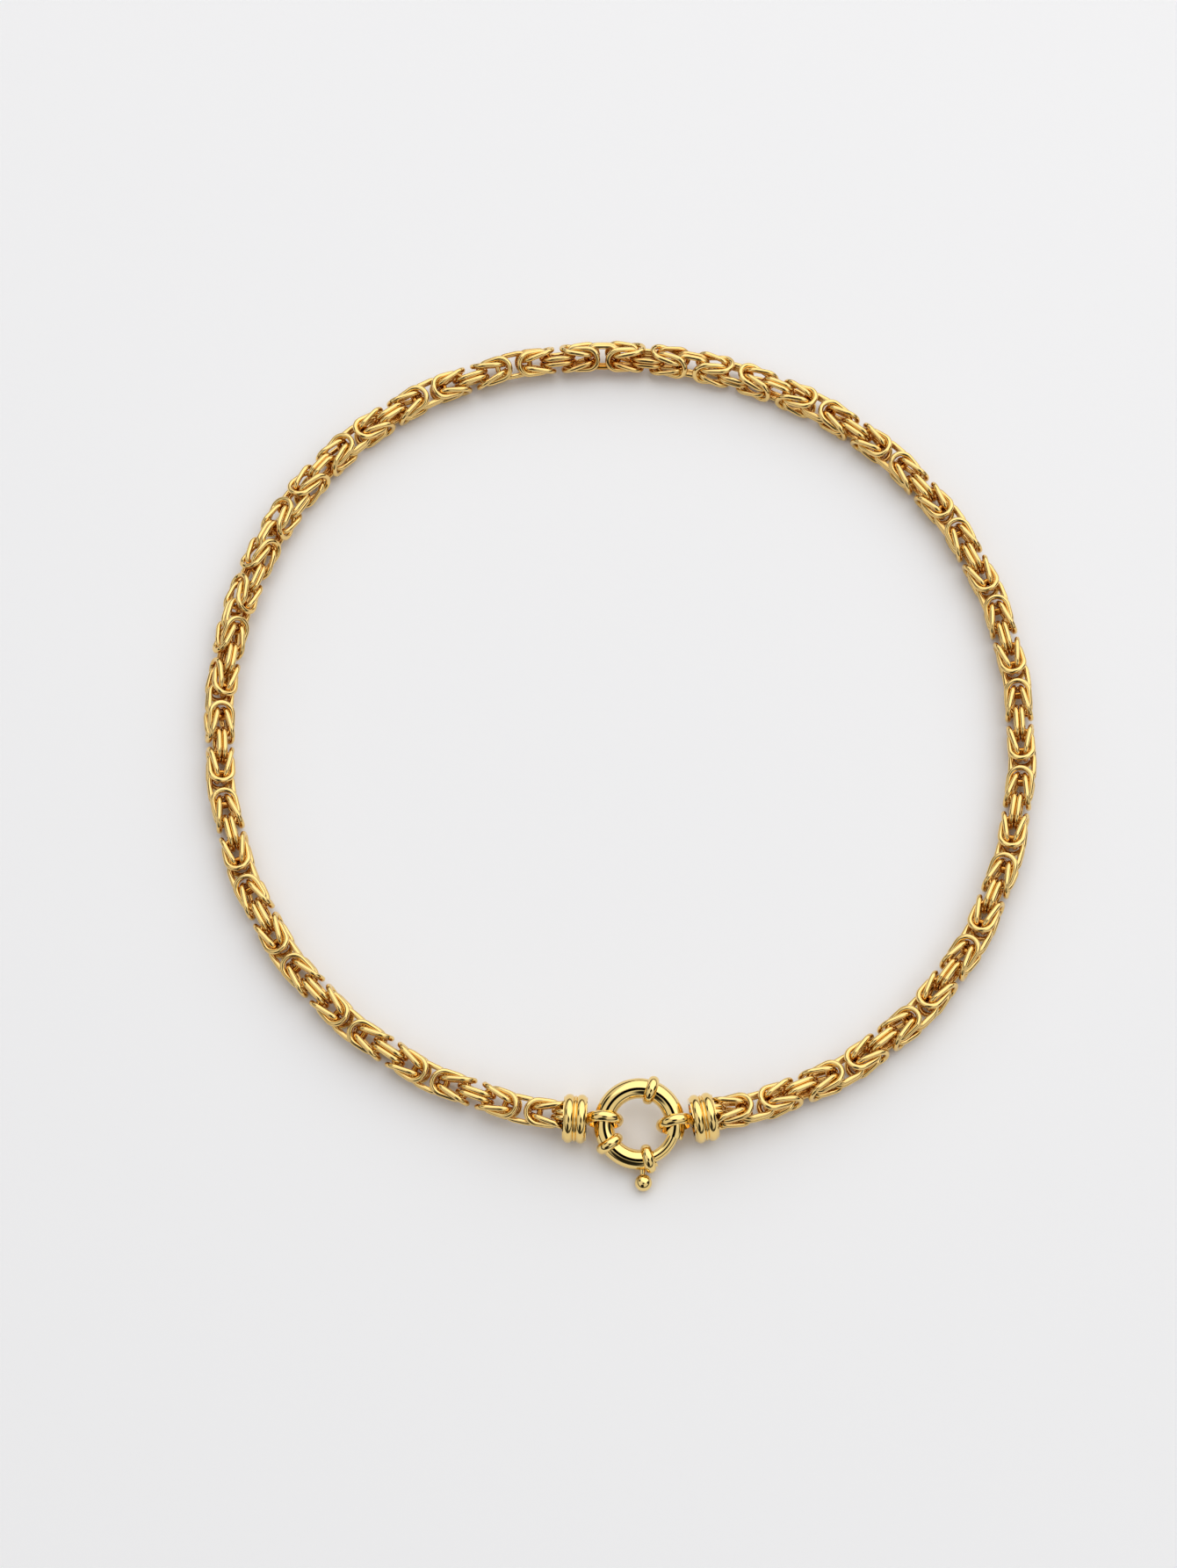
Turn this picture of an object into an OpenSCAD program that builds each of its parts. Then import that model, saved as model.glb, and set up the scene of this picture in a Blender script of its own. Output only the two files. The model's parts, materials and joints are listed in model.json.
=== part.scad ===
// Byzantine chain necklace with a round bolt-ring clasp, lying closed on a table.
// The loop lies in the XY plane, the clasp at its south point, and z = 0 is the table.

/* [Loop] */
// Length of the whole closed loop, clasp included, along its centre line
loop_length = 450; // [449:0.5:451]
// How far the loop departs from a circle towards an oval, as a share of its radius
oval_share = 0.019; // [0:0.001:0.025]
// Direction of the oval's long axis, counterclockwise from +X
oval_turn = 105; // [0:1:180]
// How far the loop's sides are squared off, as a share of its radius
square_share = 0.007; // [0:0.001:0.01]
// Direction of one squared corner, counterclockwise from +X
square_turn = 38; // [0:1:90]

/* [Chain] */
// Diameter of the wire
wire_d = 0.94; // [0.88:0.01:0.94]
// Outside length of one ring
ring_l = 6.88; // [6.84:0.01:6.92]
// Outside width of one ring
ring_w = 4.84; // [4.8:0.01:4.88]
// Distance between the centres of two connector pairs
unit_step = 8.22; // [8.2:0.01:8.24]
// Free space between the two rings of a connector pair
pair_gap = 0.04; // [0.02:0.01:0.06]
// Distance of a flanking ring's centre from the chain's axis
flank_offset = 1.264; // [1.25:0.001:1.28]
// Distance of a flanking ring's centre from its connector's centre, along the chain
flank_reach = 3.785; // [3.77:0.005:3.81]
// Lean of a flanking ring, which opens it towards its connector
flank_lean = 14.2; // [13.5:0.1:14.8]
// Roll of the chain where it leaves the left cap, top face outwards
roll_start = 13; // [0:1:20]
// Roll of the chain where it enters the right cap
roll_end = -190; // [-200:1:-180]
// Unit at which the chain begins to roll over
roll_from_unit = 8.5; // [8:0.5:9]
// Unit at which the chain has rolled over
roll_to_unit = 32; // [31:0.5:33]

/* [Clasp] */
// Radius of the clasp ring, to the centre of its tube
clasp_r = 5.86; // [5.8:0.01:5.95]
// Outside diameter of the clasp's tube
tube_d = 3.36; // [3.3:0.01:3.4]
// Bore of the clasp's tube
tube_bore_d = 2.3; // [2.2:0.05:2.4]
// Diameter of the curved bolt
bolt_d = 1.9; // [1.8:0.05:1.95]
// Diameter of the thumb knob's ball
knob_d = 2.84; // [2.6:0.02:3]
// Distance of the ball's centre from the clasp's centre
knob_reach = 9.62; // [9.5:0.01:9.8]
// Angle through which the bolt is drawn back
bolt_travel = 44; // [40:1:45]

/* [End caps] */
// Diameter over a cap's ribs
cap_d = 8.1; // [8:0.05:8.2]
// Length of a cap
cap_l = 3.9; // [3.7:0.05:4]
// Inside diameter of a bail
bail_bore_d = 4.75; // [4.75:0.05:4.85]
// Width of a bail's strap
bail_w = 1.8; // [1.5:0.1:1.8]
// Thickness of a bail's strap
bail_t = 0.85; // [0.8:0.05:0.9]

/* [Hidden] */
$fn = 48;

// Number of units between the two end caps, which the hinges below share out
unit_count = 52;
// Hinges: connectors whose near end bends, before the middle of the loop ...
first_hinge_units = [1, 3, 5, 7, 9, 11, 14, 16, 18, 20, 22, 24];
// ... and their opposite numbers, half a loop further on, whose far end bends
opposite_step = 27;
// A hinge cuts the chain just before (near side) or just after (far side) its connector
cut_shift = 0.2;
cuts = concat(
    [for (k = first_hinge_units) k - cut_shift],
    [for (k = first_hinge_units) k + opposite_step + cut_shift]
);
segment_count = len(cuts) + 1;
function segment_name(i) = str("links_", i < 10 ? "0" : "", i);
segment_names = [for (i = [0:segment_count - 1]) segment_name(i)];

clasp_nodes = [
    "clasp_tube", "clasp_bolt", "thumb_knob", "clasp_spring", "spring_stop",
    "top_collar", "gate_collar", "lower_collar"
];
end_nodes = [
    "left_bail", "left_cap", "left_end_links", "right_bail", "right_cap", "right_end_links"
];

// ---- the loop's centre line ----
function loop_share(t) = 1 + oval_share * cos(2 * (t - oval_turn)) + square_share * cos(4 * (t - square_turn));
// Point at angle a, clockwise from the south point, on a loop of mean radius 1
function unit_rim(a) = loop_share(-90 - a) * [-sin(a), -cos(a)];
rim_table = [
    for (a = 0, s = 0; a <= 360; s = s + norm(unit_rim(a + 1) - unit_rim(a)), a = a + 1) [s, a]
];
mean_r = loop_length / rim_table[360][0];
// Angle, clockwise from the south point, at distance d along the loop
function travel_angle(d) = lookup(d / mean_r, rim_table);

cap_r = cap_d / 2;
first_unit_d = (loop_length - unit_count * unit_step) / 2;
function unit_d(k) = first_unit_d + k * unit_step;
function clamp01(x) = min(1, max(0, x));
function ease(x) = x * x * (3 - 2 * x);
function roll_at(d) =
    let (u = clamp01(((d - first_unit_d) / unit_step - roll_from_unit) / (roll_to_unit - roll_from_unit)))
    roll_start + (roll_end - roll_start) * u;

// Height of the axis where the chain lies flat on a face, and how much more on a corner
flat_height = 2.74;
corner_lift = 0.38;
// The chain climbs to the caps' axis over this length, from this far past the clasp's centre
climb_from = 12;
climb_length = 26;
function lying_height(d) = flat_height + corner_lift * (1 - cos(4 * roll_at(d))) / 2;
function climb(d) = ease(1 - clamp01((min(d, loop_length - d) - climb_from) / climb_length));
function axis_height(d) = lying_height(d) + (cap_r - lying_height(d)) * climb(d);
function axis_point(d) = let (r = mean_r * unit_rim(travel_angle(d))) [r.x, r.y, axis_height(d)];
function unit_vector(v) = v / norm(v);
function axis_direction(d) = unit_vector(axis_point(d + 0.5) - axis_point(d - 0.5));

// Columns: the chain's two cross directions after roll, and its own direction
function chain_frame(direction, roll) =
    let (
        outward = unit_vector(cross([0, 0, 1], direction)),
        upward = cross(direction, outward),
        side = outward * cos(roll) - upward * sin(roll),
        top = upward * cos(roll) + outward * sin(roll)
    )
    [side, top, direction];

// ---- ring places ----
wire_r = wire_d / 2;
ring_r = (ring_w - wire_d) / 2;
half_straight = (ring_l - ring_w) / 2;
// Chord height of a stiff unit on the loop, which shifts upright connectors inwards
unit_sag = 0.365;
function is_odd(k) = k % 2 == 1;
function connector_frame(k) = chain_frame(axis_direction(unit_d(k)), roll_at(unit_d(k)));
function connector_centre(k) =
    let (
        p = axis_point(unit_d(k)),
        inward = -unit_vector([p.x, p.y, 0]),
        frame = connector_frame(k),
        normal = is_odd(k) ? frame[1] : frame[0]
    )
    p + unit_sag * (inward * normal) * normal;
// The bends are at the centres of the connectors' round ends
function far_bend(k) = connector_centre(k) + half_straight * connector_frame(k)[2];
function near_bend(k) = connector_centre(k) - half_straight * connector_frame(k)[2];

module at_frame(p, f) {
    multmatrix([
        [f[0].x, f[1].x, f[2].x, p.x],
        [f[0].y, f[1].y, f[2].y, p.y],
        [f[0].z, f[1].z, f[2].z, p.z]
    ]) children();
}

module round_end() {
    rotate([90, 0, 0])
        rotate_extrude(angle = 180)
            translate([ring_r, 0])
                circle(r = wire_r);
}

// One closed ring of wire with straight sides, long along Z, in the XZ plane
module wire_ring() {
    translate([0, 0, half_straight]) round_end();
    translate([0, 0, -half_straight]) mirror([0, 0, 1]) round_end();
    for (x = [-ring_r, ring_r])
        translate([x, 0, -half_straight]) cylinder(r = wire_r, h = 2 * half_straight);
}

module connector_pair(k) {
    at_frame(connector_centre(k), connector_frame(k))
        rotate([0, 0, is_odd(k) ? 0 : 90])
            for (side = [-1, 1])
                translate([0, side * (wire_r + pair_gap / 2), 0]) wire_ring();
}

module flank_pair() {
    translate([0, 0, flank_reach - unit_step / 2])
        for (side = [-1, 1])
            translate([0, side * flank_offset, 0]) rotate([side * flank_lean, 0, 0]) wire_ring();
}

// The four rings between connector k and the next: one pair flanks each of the two
module flanking_rings(k) {
    a = far_bend(k);
    b = near_bend(k + 1);
    frame = chain_frame(unit_vector(b - a), roll_at(unit_d(k + 0.5)));
    at_frame((a + b) / 2, frame)
        rotate([0, 0, is_odd(k) ? 0 : 90]) {
            flank_pair();
            rotate([0, 0, 90]) mirror([0, 0, 1]) flank_pair();
        }
}

// Chain segment i holds every ring between two neighbouring cuts
module segment(i) {
    from = i == 0 ? 0.1 : cuts[i - 1];
    to = i == segment_count - 1 ? unit_count - 0.1 : cuts[i];
    color("gold") {
        for (k = [0:unit_count])
            if (k > from && k < to) connector_pair(k);
        for (k = [0:unit_count - 1])
            if (k + 0.5 > from && k + 0.5 < to) flanking_rings(k);
    }
}

// ---- clasp ----
tube_r = tube_d / 2;
bore_r = tube_bore_d / 2;
bolt_r = bolt_d / 2;
knob_r = knob_d / 2;
south_y = -mean_r * norm(unit_rim(0));
// The clasp's centre hangs a little outside the loop
clasp_centre = [0, south_y - 0.2, cap_r];
// The ring leans until the knob rests on the table
clasp_lean = asin((cap_r - knob_r) / knob_reach);
// Angles on the clasp, counterclockwise from +X
left_bail_turn = 171;
right_bail_turn = -1;
top_collar_turn = 69;
gate_collar_turn = -78;
lower_collar_turn = -149;
knob_turn = -88.4;
tube_from = -68;
tube_to = -23;
bolt_tip_turn = -18;
bolt_tail_turn = -106;
spring_tail_turn = -171;
stop_span = 8;

module in_clasp() {
    translate(clasp_centre) rotate([clasp_lean, 0, 0]) children();
}

// Part of a ring tube of the given radius from angle a, through span degrees
module ring_arc(r, a, span) {
    rotate([0, 0, a])
        rotate_extrude(angle = span)
            translate([clasp_r, 0])
                circle(r = r);
}

tube_span = 360 - (tube_to - tube_from);
slot_w = 1.05;
slot_from = knob_turn - bolt_travel - 4;
slot_span = bolt_travel + 8;
module clasp_tube() {
    color("gold")
        in_clasp()
            difference() {
                ring_arc(tube_r, tube_to, tube_span);
                ring_arc(bore_r, tube_to - 1, tube_span + 2);
                rotate([0, 0, slot_from])
                    rotate_extrude(angle = slot_span)
                        translate([clasp_r, -slot_w / 2])
                            square([tube_r + 1, slot_w]);
            }
}

module clasp_bolt() {
    color("gold")
        in_clasp()
            difference() {
                ring_arc(bolt_r, bolt_tail_turn, bolt_tip_turn - bolt_tail_turn);
                rotate([0, 0, knob_turn])
                    translate([clasp_r, 0, 0])
                        rotate([0, 90, 0]) cylinder(r = stem_seat_r, h = tube_r);
            }
}

stem_r = 0.43;
stem_seat_r = 0.45;
module thumb_knob() {
    color("gold")
        in_clasp()
            rotate([0, 0, knob_turn]) {
                translate([clasp_r + 0.05, 0, 0])
                    rotate([0, 90, 0]) cylinder(r = stem_r, h = knob_reach - clasp_r - 0.05);
                translate([knob_reach, 0, 0]) sphere(r = knob_r);
            }
}

// A coiled wire bent round the tube's centre line, as one swept skin
spring_wire_r = 0.1;
spring_coil_r = 0.9;
spring_turns = 8;
steps_per_turn = 14;
skin_sides = 6;
spring_steps = spring_turns * steps_per_turn;
spring_span = bolt_tail_turn - spring_tail_turn - 2;
function spring_frame(a) = [[cos(a), sin(a), 0], [0, 0, 1], [-sin(a), cos(a), 0]];
function spring_point(i, j) =
    let (
        a = spring_tail_turn + 1 + spring_span * i / spring_steps,
        turn = 360 * i / steps_per_turn,
        skin = 360 * j / skin_sides,
        f = spring_frame(a),
        out = f[0] * cos(turn) + f[1] * sin(turn)
    )
    f[0] * clasp_r + out * (spring_coil_r + spring_wire_r * cos(skin)) + f[2] * spring_wire_r * sin(skin);
module clasp_spring() {
    points = [for (i = [0:spring_steps]) for (j = [0:skin_sides - 1]) spring_point(i, j)];
    sides = [
        for (i = [0:spring_steps - 1]) for (j = [0:skin_sides - 1])
            let (n = (j + 1) % skin_sides, b = i * skin_sides)
            [b + j, b + n, b + skin_sides + n, b + skin_sides + j]
    ];
    near_end = [for (j = [skin_sides - 1:-1:0]) j];
    far_end = [for (j = [0:skin_sides - 1]) spring_steps * skin_sides + j];
    color("silver")
        in_clasp()
            polyhedron(points = points, faces = concat([near_end], sides, [far_end]), convexity = 10);
}

module spring_stop() {
    color("gold") in_clasp() ring_arc(bore_r - 0.02, spring_tail_turn - stop_span, stop_span);
}

// A domed band round the tube at angle a
collar_crown_r = 0.95;
collar_r = 1.5;
module collar(a) {
    color("gold")
        in_clasp()
            rotate([0, 0, a])
                difference() {
                    translate([clasp_r, 0, 0])
                        rotate([90, 0, 0])
                            rotate_extrude()
                                translate([collar_r, 0])
                                    circle(r = collar_crown_r);
                    ring_arc(tube_r + 0.01, -30, 60);
                }
}
module top_collar() { collar(top_collar_turn); }
module gate_collar() { collar(gate_collar_turn); }
module lower_collar() { collar(lower_collar_turn); }

// ---- end caps and bails ----
function clasp_point(a) =
    clasp_centre + clasp_r * [cos(a), sin(a) * cos(clasp_lean), sin(a) * sin(clasp_lean)];
left_bail_centre = clasp_point(left_bail_turn);
right_bail_centre = clasp_point(right_bail_turn);
left_end = axis_point(first_unit_d);
right_end = axis_point(loop_length - first_unit_d);
// A cap stands level: its axis runs from above the bail's centre to the chain's end
function level(p) = [p.x, p.y, cap_r];
function heading(from, to) = let (v = level(to) - level(from)) atan2(v.y, v.x);
left_heading = heading(left_bail_centre, left_end);
right_heading = heading(right_bail_centre, right_end);
// Distance from a bail's centre to the cap's front edge
cap_front = 2.85;
bail_r = bail_bore_d / 2;
cap_floor_from = 0.5;
cap_floor_t = 0.8;
cap_cavity_r = 3.2;

module at_left() { translate(level(left_bail_centre)) rotate([0, 0, left_heading]) children(); }
module at_right() { translate(level(right_bail_centre)) rotate([0, 0, right_heading]) children(); }

// Domed outside, flat inside, with square edges this thick
strap_edge_t = 0.3;
strap_rise = bail_t - strap_edge_t;
strap_dome_r = (bail_w * bail_w / 4 + strap_rise * strap_rise) / (2 * strap_rise);
module strap_profile() {
    intersection() {
        translate([bail_r + bail_t - strap_dome_r, 0]) circle(r = strap_dome_r);
        translate([bail_r, -bail_w / 2]) square([bail_t, bail_w]);
    }
}

// Strap loop round the tube, with a stub that meets the cap's floor; +X points to the cap
module bail(drop) {
    stub_r = 1.2;
    color("gold")
        difference() {
            union() {
                translate([0, 0, drop])
                    rotate([90, 0, 0])
                        rotate_extrude() strap_profile();
                translate([bail_r + bail_t / 2, 0, 0])
                    rotate([0, 90, 0])
                        cylinder(r = stub_r, h = cap_front + cap_floor_from - bail_r - bail_t / 2);
            }
            translate([0, bail_w, drop]) rotate([90, 0, 0]) cylinder(r = bail_r, h = 2 * bail_w);
        }
}
module left_bail() { at_left() bail(left_bail_centre.z - cap_r); }
module right_bail() { at_right() bail(right_bail_centre.z - cap_r); }

// Ribbed cup over the chain's end; +X points into the chain
rib_r = 0.94;
bead_r = 0.22;
cap_wall = 0.4;
module cap() {
    rib_y = [rib_r, cap_l - rib_r];
    color("gold")
        translate([cap_front, 0, 0])
            rotate([0, 90, 0])
                rotate_extrude()
                    difference() {
                        union() {
                            square([cap_cavity_r + cap_wall, cap_l]);
                            for (y = rib_y) translate([cap_r - rib_r, y]) circle(r = rib_r);
                            translate([cap_cavity_r + cap_wall, cap_l / 2]) circle(r = bead_r);
                        }
                        translate([0, cap_floor_from + cap_floor_t]) square([cap_cavity_r, cap_l]);
                        translate([0, -1]) square([cap_cavity_r - 0.5, 1 + cap_floor_from]);
                        translate([-2, -1]) square([2, cap_l + 2]);
                    }
}
module left_cap() { at_left() cap(); }
module right_cap() { at_right() cap(); }

// The chain's last pair: two staples whose legs are soldered to the cap's floor
staple_leg = 2.7;
module staple_pair(towards) {
    for (side = [-1, 1])
        translate([0, side * (wire_r + pair_gap / 2), 0])
            mirror([0, 0, towards]) {
                translate([0, 0, half_straight]) round_end();
                for (x = [-ring_r, ring_r])
                    translate([x, 0, half_straight - staple_leg]) cylinder(r = wire_r, h = staple_leg);
            }
}
module end_links(k, towards) {
    color("gold")
        at_frame(connector_centre(k), connector_frame(k))
            rotate([0, 0, is_odd(k) ? 0 : 90]) staple_pair(towards);
}
module left_end_links() { end_links(0, 0); }
module right_end_links() { end_links(unit_count, 1); }

clasp_tube();
clasp_bolt();
thumb_knob();
clasp_spring();
spring_stop();
top_collar();
gate_collar();
lower_collar();
left_bail();
left_cap();
left_end_links();
right_bail();
right_cap();
right_end_links();
for (i = [0:segment_count - 1])
    segment(i);
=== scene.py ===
"""Looks of a closed Byzantine chain necklace with a bolt-ring clasp, lying on a pale table."""

import json
import logging
import math
from dataclasses import dataclass, field, replace
from enum import Enum

import bpy
import numpy as np
from mathutils import Matrix, Vector


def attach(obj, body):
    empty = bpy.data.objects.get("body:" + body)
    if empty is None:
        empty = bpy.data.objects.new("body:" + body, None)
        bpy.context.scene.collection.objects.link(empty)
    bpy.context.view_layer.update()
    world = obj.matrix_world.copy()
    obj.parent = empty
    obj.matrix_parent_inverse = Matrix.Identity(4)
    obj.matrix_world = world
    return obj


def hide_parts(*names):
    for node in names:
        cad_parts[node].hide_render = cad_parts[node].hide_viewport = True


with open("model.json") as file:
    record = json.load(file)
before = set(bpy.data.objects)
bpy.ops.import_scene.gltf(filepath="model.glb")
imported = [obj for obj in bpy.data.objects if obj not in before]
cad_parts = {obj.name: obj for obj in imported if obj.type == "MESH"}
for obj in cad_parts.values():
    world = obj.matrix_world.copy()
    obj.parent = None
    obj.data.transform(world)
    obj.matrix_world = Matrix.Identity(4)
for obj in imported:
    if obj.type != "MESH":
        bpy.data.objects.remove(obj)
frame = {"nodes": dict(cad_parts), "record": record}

log = logging.getLogger("necklace")
MM = 0.001
# Polish: cycles per metre of the buffing marks, the handled patches and the soft unevenness
MARKS_SCALE = 4200.0
PATCH_SCALE = 420.0
SWELL_SCALE = 1100.0
# Buffing marks run along the object's Y axis, and this much of their value shows as height
MARKS_STRETCH = (1.0, 0.25, 1.0)
MARKS_HEIGHT = 0.25
# Share of the deeper colour on a fully handled patch
PATCH_TONE = 0.35
# Vertices nearer than this are one, in metres
WELD = 1e-7


# ---- shared shader effects ----


def new_group(
    name: str, inputs: dict[str, float], outputs: tuple[str, ...]
) -> bpy.types.NodeTree:
    """Make an empty shader node group with float sockets.

    Args:
        name: The group's name.
        inputs: Input socket names and their default values.
        outputs: Output socket names.

    Returns:
        The group, with its input and output nodes in place.
    """
    group = bpy.data.node_groups.new(name, "ShaderNodeTree")
    for label, default in inputs.items():
        socket = group.interface.new_socket(label, in_out="INPUT", socket_type="NodeSocketFloat")
        socket.default_value = default
    for label in outputs:
        group.interface.new_socket(label, in_out="OUTPUT", socket_type="NodeSocketFloat")
    group.nodes.new("NodeGroupInput")
    group.nodes.new("NodeGroupOutput")
    return group


def add_noise(
    tree: bpy.types.NodeTree,
    scale: float,
    detail: float,
    stretch: tuple[float, float, float] = (1.0, 1.0, 1.0),
) -> bpy.types.NodeSocket:
    """Add noise over the object's own coordinates.

    Args:
        tree: The node tree that gets the nodes.
        scale: Cycles of noise per metre.
        detail: Octaves of finer noise.
        stretch: Scale of the coordinates along each axis.

    Returns:
        The noise's value, from 0 to 1.
    """
    place = tree.nodes.new("ShaderNodeTexCoord")
    mapping = tree.nodes.new("ShaderNodeMapping")
    mapping.inputs["Scale"].default_value = stretch
    noise = tree.nodes.new("ShaderNodeTexNoise")
    noise.inputs["Scale"].default_value = scale
    noise.inputs["Detail"].default_value = detail
    tree.links.new(place.outputs["Object"], mapping.inputs["Vector"])
    tree.links.new(mapping.outputs["Vector"], noise.inputs["Vector"])
    return noise.outputs["Fac"]


def add_math(
    tree: bpy.types.NodeTree,
    operation: str,
    a: bpy.types.NodeSocket | float,
    b: bpy.types.NodeSocket | float,
) -> bpy.types.NodeSocket:
    """Add one math node.

    Args:
        tree: The node tree that gets the node.
        operation: The math node's operation.
        a: First value or socket.
        b: Second value or socket.

    Returns:
        The result's socket.
    """
    node = tree.nodes.new("ShaderNodeMath")
    node.operation = operation
    for slot, value in zip(node.inputs, (a, b)):
        if isinstance(value, bpy.types.NodeSocket):
            tree.links.new(value, slot)
        else:
            slot.default_value = value
    return node.outputs[0]


def polish_group() -> bpy.types.NodeTree:
    """Build the polished surface: fine buffing marks, duller handled patches and a soft unevenness.

    Returns:
        A group with the outputs Roughness, Height and Patch.
    """
    inputs = {"Gloss": 0.1, "Marks": 0.04, "Handling": 0.05}
    group = new_group("polish", inputs, ("Roughness", "Height", "Patch"))
    given = group.nodes["Group Input"].outputs
    result = group.nodes["Group Output"].inputs
    marks = add_noise(group, MARKS_SCALE, 3.0, MARKS_STRETCH)
    patch = add_noise(group, PATCH_SCALE, 2.0)
    swell = add_noise(group, SWELL_SCALE, 1.0)
    rough = add_math(group, "ADD", given["Gloss"], add_math(group, "MULTIPLY", marks, given["Marks"]))
    rough = add_math(group, "ADD", rough, add_math(group, "MULTIPLY", patch, given["Handling"]))
    height = add_math(group, "ADD", add_math(group, "MULTIPLY", marks, MARKS_HEIGHT), swell)
    group.links.new(rough, result["Roughness"])
    group.links.new(height, result["Height"])
    group.links.new(patch, result["Patch"])
    return group


# ---- finishes ----


class Tone(Enum):
    """Linear base colours: the clean metal, and a deeper colour for handled patches and for painted
    shade in recesses.
    """

    # The chain's deeper colour is dark brown because it also serves as the painted shade inside the
    # chain.
    CHAIN_GOLD = ((0.93, 0.68, 0.27), (0.64, 0.30, 0.05))
    CLASP_GOLD = ((0.94, 0.70, 0.28), (0.88, 0.58, 0.18))
    CAP_GOLD = ((0.94, 0.69, 0.27), (0.88, 0.56, 0.16))
    SPRING_STEEL = ((0.62, 0.61, 0.58), (0.45, 0.44, 0.42))


@dataclass(frozen=True)
class MetalFinish:
    """A polished metal with its own gloss, marks and tone."""

    name: str
    tone: Tone
    gloss: float
    marks: float
    handling: float
    bump_mm: float

    def build(self, polish: bpy.types.NodeTree, recess_shade: str | None = None) -> bpy.types.Material:
        """Build the material.

        Args:
            polish: The shared polish group.
            recess_shade: Name of a mesh attribute that is 1 deep inside the piece, if it has one; there
                the deeper colour is painted on as shade.

        Returns:
            The material.
        """
        material = bpy.data.materials.new(self.name)
        material.use_nodes = True
        tree = material.node_tree
        shader = tree.nodes["Principled BSDF"]
        shader.inputs["Metallic"].default_value = 1.0
        effect = tree.nodes.new("ShaderNodeGroup")
        effect.node_tree = polish
        effect.inputs["Gloss"].default_value = self.gloss
        effect.inputs["Marks"].default_value = self.marks
        effect.inputs["Handling"].default_value = self.handling
        mix = tree.nodes.new("ShaderNodeMix")
        mix.data_type = "RGBA"
        clean, deep = self.tone.value
        mix.inputs["A"].default_value = (*clean, 1.0)
        mix.inputs["B"].default_value = (*deep, 1.0)
        wear_and_shade = add_math(tree, "MULTIPLY", effect.outputs["Patch"], PATCH_TONE)
        # Painted shade: the attribute, which is 1 deep inside the piece, mixes in the deeper colour as
        # shade there; the handled patches are real wear.
        if recess_shade is not None:
            shade_attribute_node = tree.nodes.new("ShaderNodeAttribute")
            shade_attribute_node.attribute_name = recess_shade
            wear_and_shade = add_math(tree, "MAXIMUM", wear_and_shade, shade_attribute_node.outputs["Fac"])
        tree.links.new(wear_and_shade, mix.inputs["Factor"])
        tree.links.new(mix.outputs["Result"], shader.inputs["Base Color"])
        tree.links.new(effect.outputs["Roughness"], shader.inputs["Roughness"])
        bump = tree.nodes.new("ShaderNodeBump")
        bump.inputs["Strength"].default_value = 1.0
        bump.inputs["Distance"].default_value = self.bump_mm * MM
        tree.links.new(effect.outputs["Height"], bump.inputs["Height"])
        tree.links.new(bump.outputs["Normal"], shader.inputs["Normal"])
        return material


# ---- chain ----


@dataclass
class WireRing:
    """One closed stadium-shaped ring of round wire, with its soldered joint."""

    length: float = 6.88 * MM
    width: float = 4.84 * MM
    wire_d: float = 0.94 * MM
    joint_swell: float = 0.012 * MM
    joint_span: float = 0.35 * MM
    steps_round_end: int = 14
    steps_along_side: int = 5
    wire_sides: int = 14

    def path(self) -> np.ndarray:
        """Points of the wire's centre line, with the direction out of the ring at each.

        Returns:
            Rows of x, z, outward x and outward z, for a ring that is long along Z in the XZ plane.
        """
        radius = (self.width - self.wire_d) / 2
        half = (self.length - self.width) / 2
        rows = []
        for end in (1, -1):
            for i in range(self.steps_round_end + 1):
                turn = math.pi * i / self.steps_round_end
                out_x = end * math.cos(turn)
                out_z = end * math.sin(turn)
                rows.append((radius * out_x, end * half + radius * out_z, out_x, out_z))
            side = -end
            for i in range(1, self.steps_along_side):
                z = end * half * (1 - 2 * i / self.steps_along_side)
                rows.append((side * radius, z, side, 0.0))
        return np.array(rows)

    def mesh(self) -> tuple[np.ndarray, np.ndarray]:
        """Sweep the wire round the path.

        Returns:
            Vertices, and quads as rows of four vertex numbers.
        """
        path = self.path()
        count = len(path)
        turn = np.linspace(0, 2 * math.pi, self.wire_sides, endpoint=False)
        joint = np.exp(-((path[:, 1] / self.joint_span) ** 2)) * (path[:, 0] > 0)
        radius = self.wire_d / 2 + self.joint_swell * joint
        across = radius[:, None] * np.cos(turn)[None, :]
        up = radius[:, None] * np.sin(turn)[None, :]
        x = path[:, 0, None] + across * path[:, 2, None]
        z = path[:, 1, None] + across * path[:, 3, None]
        vertices = np.stack([x, up, z], axis=-1).reshape(-1, 3)
        i, j = np.meshgrid(np.arange(count), np.arange(self.wire_sides), indexing="ij")
        next_i = (i + 1) % count
        next_j = (j + 1) % self.wire_sides
        sides = self.wire_sides
        corners = [(i, j), (next_i, j), (next_i, next_j), (i, next_j)]
        quads = np.stack([row * sides + column for row, column in corners], axis=-1)
        return vertices, quads.reshape(-1, 4)


@dataclass
class RingPlace:
    """Where a ring of the frame lies: its centre, and its width, normal and length directions."""

    centre: np.ndarray
    axes: np.ndarray
    extents: np.ndarray


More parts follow.
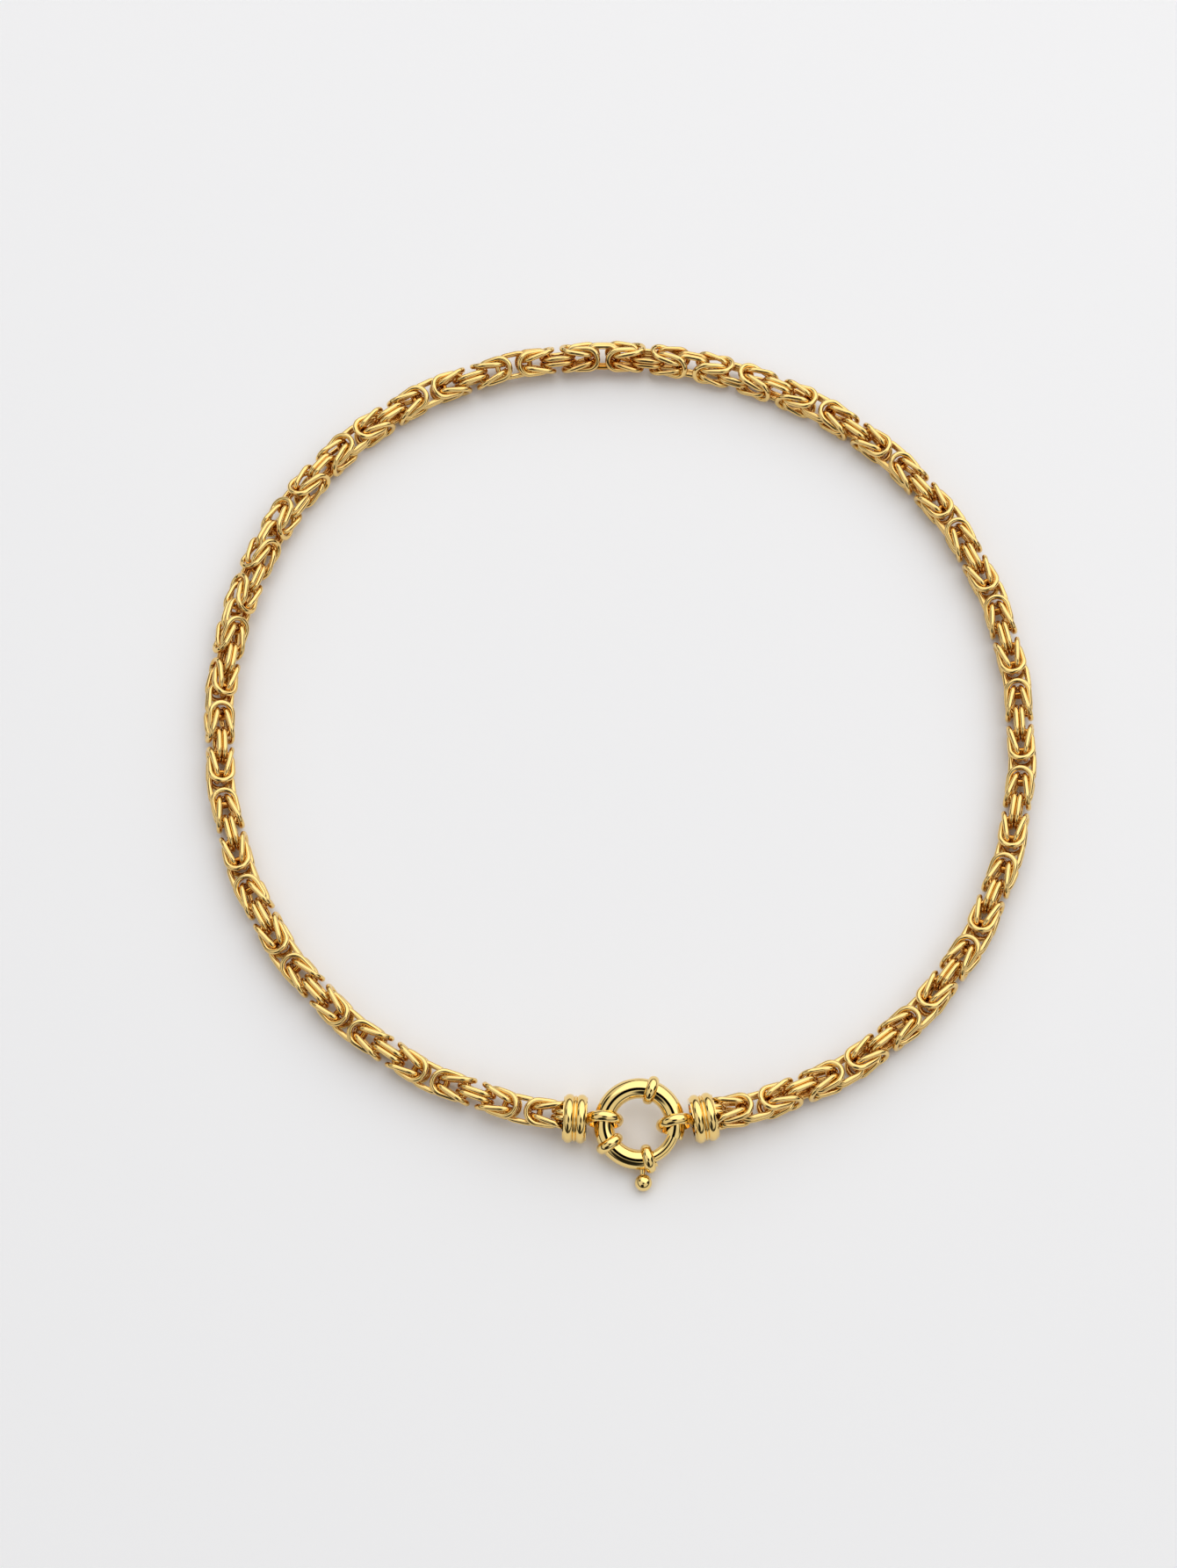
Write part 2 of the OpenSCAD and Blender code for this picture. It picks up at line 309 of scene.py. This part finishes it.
def solid_labels(mesh: bpy.types.Mesh) -> tuple[np.ndarray, np.ndarray]:
    """Split a mesh into its separate solids.

    Args:
        mesh: A mesh of several closed solids.

    Returns:
        The vertices, and for each the number of its solid.
    """
    co = np.empty(len(mesh.vertices) * 3)
    mesh.vertices.foreach_get("co", co)
    co = co.reshape(-1, 3)
    edges = np.empty(len(mesh.edges) * 2, int)
    mesh.edges.foreach_get("vertices", edges)
    _, same = np.unique(np.round(co / WELD).astype(np.int64), axis=0, return_inverse=True)
    same = same.reshape(-1)
    a, b = same[edges.reshape(-1, 2)].T
    label = np.arange(same.max() + 1)
    while True:
        low = np.minimum(label[a], label[b])
        new = label.copy()
        np.minimum.at(new, a, low)
        np.minimum.at(new, b, low)
        new = new[new]
        if np.array_equal(new, label):
            break
        label = new
    _, number = np.unique(label[same], return_inverse=True)
    return co, number.reshape(-1)


def ring_place(points: np.ndarray) -> RingPlace:
    """Find a ring's centre and directions from its surface points.

    Args:
        points: Surface points of one ring.

    Returns:
        The ring's place.
    """
    middle = points.mean(axis=0)
    _, directions = np.linalg.eigh(np.cov((points - middle).T))
    normal = directions[:, 0]
    length = directions[:, 2]
    width = np.cross(normal, length)
    axes = np.stack([width, normal, length])
    local = (points - middle) @ axes.T
    low, high = local.min(axis=0), local.max(axis=0)
    return RingPlace(middle + ((low + high) / 2) @ axes, axes, high - low)


@dataclass
class ByzantineChain:
    """The chain's closed rings, one piece for each stretch that moves as one."""

    ring: WireRing = field(default_factory=WireRing)
    # A surface this much nearer to the chain's axis than the outermost ones gets the full painted shade
    painted_shade_depth: float = 1.6 * MM
    # Percentile of the distances that counts as the outermost, and the step between points fitted
    reach_percentile: float = 95.0
    fit_step: int = 7

    def build(
        self,
        nodes: dict[str, bpy.types.Object],
        bodies: dict[str, list[str]],
        metal: bpy.types.Material,
    ) -> None:
        """Build every stretch of rings.

        Args:
            nodes: The frame's nodes.
            bodies: The nodes of each body.
            metal: The rings' material.
        """
        vertices, quads = self.ring.mesh()
        total = 0
        worst = 0.0
        expected = np.array([self.ring.width, self.ring.wire_d, self.ring.length])
        for body, members in bodies.items():
            for node in (name for name in members if name.startswith("links_")):
                co, number = solid_labels(nodes[node].data)
                places = [ring_place(co[number == n]) for n in range(number.max() + 1)]
                worst = max(worst, max(float(np.abs(p.extents - expected).max()) for p in places))
                self.build_stretch(node, body, places, vertices, quads, metal)
                total += len(places)
        log.info("chain: %d rings, off the frame's rings by up to %.4f mm", total, worst / MM)

    def build_stretch(
        self,
        node: str,
        body: str,
        places: list[RingPlace],
        vertices: np.ndarray,
        quads: np.ndarray,
        metal: bpy.types.Material,
    ) -> None:
        """Build the rings of one stretch as one piece of separate solids.

        Args:
            node: The frame's node that the piece stands for.
            body: The body that it moves with.
            places: Where its rings lie.
            vertices: One ring's vertices.
            quads: One ring's faces.
            metal: The rings' material.
        """
        points = np.concatenate([p.centre + vertices @ p.axes for p in places])
        faces = np.concatenate([quads + i * len(vertices) for i in range(len(places))])
        name = "rings_" + node[-2:]
        mesh = bpy.data.meshes.new(name)
        mesh.from_pydata(points.tolist(), [], faces.tolist())
        mesh.polygons.foreach_set("use_smooth", [True] * len(faces))
        # Painted shade: the nearer a surface lies to the stretch's axis, inside the chain, the more of
        # the darker colour it gets through this attribute.
        middle = np.mean([p.centre for p in places], axis=0)
        distance = self.axis_distance(middle, points)
        reach = np.percentile(distance, self.reach_percentile)
        shade_amount = np.clip((reach - distance) / self.painted_shade_depth, 0, 1)
        attribute = mesh.attributes.new("recess_shade", "FLOAT", "POINT")
        attribute.data.foreach_set("value", (shade_amount**2).astype(np.float32))
        mesh.materials.append(metal)
        piece = bpy.data.objects.new(name, mesh)
        bpy.context.scene.collection.objects.link(piece)
        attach(piece, body)
        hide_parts(node)
        log.info("chain: %s, %d rings", name, len(places))

    def axis_distance(self, middle: np.ndarray, points: np.ndarray) -> np.ndarray:
        """Measure how far points lie from the straight line that fits a stretch best.

        Args:
            middle: A point on the line.
            points: Points to measure.

        Returns:
            The distance of each point.
        """
        _, _, directions = np.linalg.svd(points[:: self.fit_step] - middle, full_matrices=False)
        away = points - middle
        along = away @ directions[0]
        return np.linalg.norm(away - along[:, None] * directions[0], axis=1)


# ---- clasp and caps ----


@dataclass
class DressedGroup:
    """Nodes of the frame that keep their shape and share one finish."""

    title: str
    nodes: tuple[str, ...]

    def dress(self, shown: dict[str, bpy.types.Object], metal: bpy.types.Material) -> None:
        """Give every node the metal.

        Args:
            shown: The frame's nodes.
            metal: The material.
        """
        for name in self.nodes:
            piece = shown[name]
            piece.data.materials.clear()
            piece.data.materials.append(metal)
            log.info("%s: %s", self.title, name)


# ---- studio ----


@dataclass
class Table:
    """The pale surface that the necklace lies on."""

    half_width: float = 5.0
    colour: tuple[float, float, float] = (0.965, 0.962, 0.97)
    roughness: float = 0.75
    # The paper's grain: cycles per metre, strength and height
    grain_scale: float = 900.0
    grain_strength: float = 0.25
    grain_height: float = 0.05 * MM

    def build(self) -> None:
        """Build the table top with a faint paper grain."""
        material = bpy.data.materials.new("pale_table")
        material.use_nodes = True
        tree = material.node_tree
        shader = tree.nodes["Principled BSDF"]
        shader.inputs["Base Color"].default_value = (*self.colour, 1.0)
        shader.inputs["Roughness"].default_value = self.roughness
        bump = tree.nodes.new("ShaderNodeBump")
        bump.inputs["Strength"].default_value = self.grain_strength
        bump.inputs["Distance"].default_value = self.grain_height
        tree.links.new(add_noise(tree, self.grain_scale, 3.0), bump.inputs["Height"])
        tree.links.new(bump.outputs["Normal"], shader.inputs["Normal"])
        h = self.half_width
        mesh = bpy.data.meshes.new("table")
        mesh.from_pydata([(-h, -h, 0), (h, -h, 0), (h, h, 0), (-h, h, 0)], [], [(0, 1, 2, 3)])
        mesh.materials.append(material)
        table = bpy.data.objects.new("table", mesh)
        bpy.context.scene.collection.objects.link(table)


@dataclass(frozen=True)
class SoftBox:
    """A rectangular area light that faces the necklace."""

    name: str
    place: tuple[float, float, float]
    size: tuple[float, float]
    watts: float
    colour: tuple[float, float, float] = (1.0, 1.0, 1.0)

    def build(self, target: Vector) -> None:
        """Hang the light.

        Args:
            target: The point that it faces.
        """
        data = bpy.data.lights.new(self.name, "AREA")
        data.shape = "RECTANGLE"
        data.size, data.size_y = self.size
        data.energy = self.watts
        data.color = self.colour
        light = bpy.data.objects.new(self.name, data)
        light.location = self.place
        light.rotation_euler = (target - Vector(self.place)).to_track_quat("-Z", "Y").to_euler()
        bpy.context.scene.collection.objects.link(light)


@dataclass
class Camera:
    """A camera above the table, tilted a little from straight down."""

    tilt_deg: float = 21.3
    turn_deg: float = -2.3
    distance: float = 0.508
    lens_mm: float = 89.4
    sensor_mm: float = 36.0
    # The aim lies this far from the centre of the loop, towards the camera's left and front
    aim: tuple[float, float] = (-5.9 * MM, -10.5 * MM)

    def build(self) -> None:
        """Place the camera and make it the scene's own."""
        target = Vector((*self.aim, 0.0))
        tilt = math.radians(self.tilt_deg)
        turn = Matrix.Rotation(math.radians(self.turn_deg), 3, "Z")
        back = turn @ Vector((0.0, -math.sin(tilt), math.cos(tilt)))
        right = turn @ Vector((1.0, 0.0, 0.0))
        up = back.cross(right)
        data = bpy.data.cameras.new("camera")
        data.sensor_fit = "HORIZONTAL"
        data.sensor_width = self.sensor_mm
        data.lens = self.lens_mm
        camera = bpy.data.objects.new("camera", data)
        place = target + back * self.distance
        camera.matrix_world = Matrix.Translation(place) @ Matrix((right, up, back)).transposed().to_4x4()
        bpy.context.scene.collection.objects.link(camera)
        bpy.context.scene.camera = camera


@dataclass(frozen=True)
class Lobe:
    """A round, soft-edged patch of the surround."""

    axis: tuple[float, float, float]
    inner_deg: float
    outer_deg: float
    level: float

    def cover(
        self,
        tree: bpy.types.NodeTree,
        direction: bpy.types.NodeSocket,
        under: bpy.types.NodeSocket,
    ) -> bpy.types.NodeSocket:
        """Lay the patch over what is already there.

        Args:
            tree: The world's node tree.
            direction: The direction looked in.
            under: Brightness without the patch.

        Returns:
            Brightness with the patch.
        """
        dot = tree.nodes.new("ShaderNodeVectorMath")
        dot.operation = "DOT_PRODUCT"
        dot.inputs[1].default_value = Vector(self.axis).normalized()
        tree.links.new(direction, dot.inputs[0])
        edge = tree.nodes.new("ShaderNodeMapRange")
        edge.interpolation_type = "SMOOTHSTEP"
        edge.inputs["From Min"].default_value = math.cos(math.radians(self.outer_deg))
        edge.inputs["From Max"].default_value = math.cos(math.radians(self.inner_deg))
        tree.links.new(dot.outputs["Value"], edge.inputs["Value"])
        mask = edge.outputs["Result"]
        kept = add_math(tree, "MULTIPLY", under, add_math(tree, "SUBTRACT", 1.0, mask))
        return add_math(tree, "ADD", kept, add_math(tree, "MULTIPLY", mask, self.level))


@dataclass
class Surround:
    """The room round the table: bright soft walls, a dark horizon and soft dark patches."""

    strength: float = 0.745
    # Sine of the elevation, and brightness there
    bands: tuple[tuple[float, float], ...] = (
        (0.0, 0.06),
        (0.2, 0.1),
        (0.3, 0.98),
        (0.7, 1.1),
        (1.0, 1.12),
    )
    lobes: tuple[Lobe, ...] = (
        Lobe((0.0, -0.36, 0.93), 12.0, 19.0, 0.0),
        Lobe((-0.25, -0.85, 0.5), 16.0, 26.0, 0.02),
        Lobe((0.9, -0.1, 0.45), 12.0, 20.0, 0.02),
        Lobe((-0.75, 0.35, 0.6), 9.0, 16.0, 0.02),
    )

    def build(self) -> None:
        """Build the world and make it the scene's own."""
        world = bpy.data.worlds.new("surround")
        world.use_nodes = True
        tree = world.node_tree
        direction = tree.nodes.new("ShaderNodeTexCoord").outputs["Generated"]
        split = tree.nodes.new("ShaderNodeSeparateXYZ")
        ramp = tree.nodes.new("ShaderNodeValToRGB")
        tree.links.new(direction, split.inputs["Vector"])
        tree.links.new(split.outputs["Z"], ramp.inputs["Fac"])
        stops = ramp.color_ramp.elements
        for _ in range(len(self.bands) - len(stops)):
            stops.new(0.5)
        for stop, (height, level) in zip(stops, self.bands):
            stop.position = height
            stop.color = (level, level, level, 1.0)
        total = ramp.outputs["Color"]
        for lobe in self.lobes:
            total = lobe.cover(tree, direction, total)
        tree.links.new(total, tree.nodes["Background"].inputs["Color"])
        tree.nodes["Background"].inputs["Strength"].default_value = self.strength
        bpy.context.scene.world = world


@dataclass
class Studio:
    """Table, soft key light, surround and camera."""

    key: SoftBox = SoftBox("key_north_east", (0.42, 0.66, 0.95), (2.3, 2.3), 11.6)

    def build(self) -> None:
        """Build the whole studio."""
        Table().build()
        self.key.build(Vector((0.0, 0.0, 0.0)))
        Surround().build()
        Camera().build()
        bpy.context.scene.view_settings.view_transform = "Standard"


def main() -> None:
    """Build every piece in order."""
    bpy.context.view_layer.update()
    polish = polish_group()
    chain_finish = MetalFinish("chain_gold", Tone.CHAIN_GOLD, 0.035, 0.03, 0.03, 0.0008)
    clasp_finish = MetalFinish("clasp_gold", Tone.CLASP_GOLD, 0.03, 0.03, 0.03, 0.0015)
    cap_finish = MetalFinish("cap_gold", Tone.CAP_GOLD, 0.04, 0.03, 0.03, 0.0015)
    spring_finish = MetalFinish("spring_steel", Tone.SPRING_STEEL, 0.25, 0.1, 0.05, 0.003)
    nodes = frame["nodes"]
    chain_metal = chain_finish.build(polish, "recess_shade")
    end_metal = replace(chain_finish, name="end_gold").build(polish)
    ByzantineChain().build(nodes, frame["record"]["behaviour"]["bodies"], chain_metal)
    DressedGroup("chain end", ("left_end_links", "right_end_links")).dress(nodes, end_metal)
    collars = ("top_collar", "gate_collar", "lower_collar")
    clasp_parts = ("clasp_tube", "clasp_bolt", "thumb_knob", "spring_stop", *collars)
    DressedGroup("clasp", clasp_parts).dress(nodes, clasp_finish.build(polish))
    DressedGroup("spring", ("clasp_spring",)).dress(nodes, spring_finish.build(polish))
    end_parts = ("left_cap", "right_cap", "left_bail", "right_bail")
    DressedGroup("end", end_parts).dress(nodes, cap_finish.build(polish))
    Studio().build()


if __name__ == "__main__":
    logging.basicConfig(level=logging.INFO, format="%(message)s")
    main()
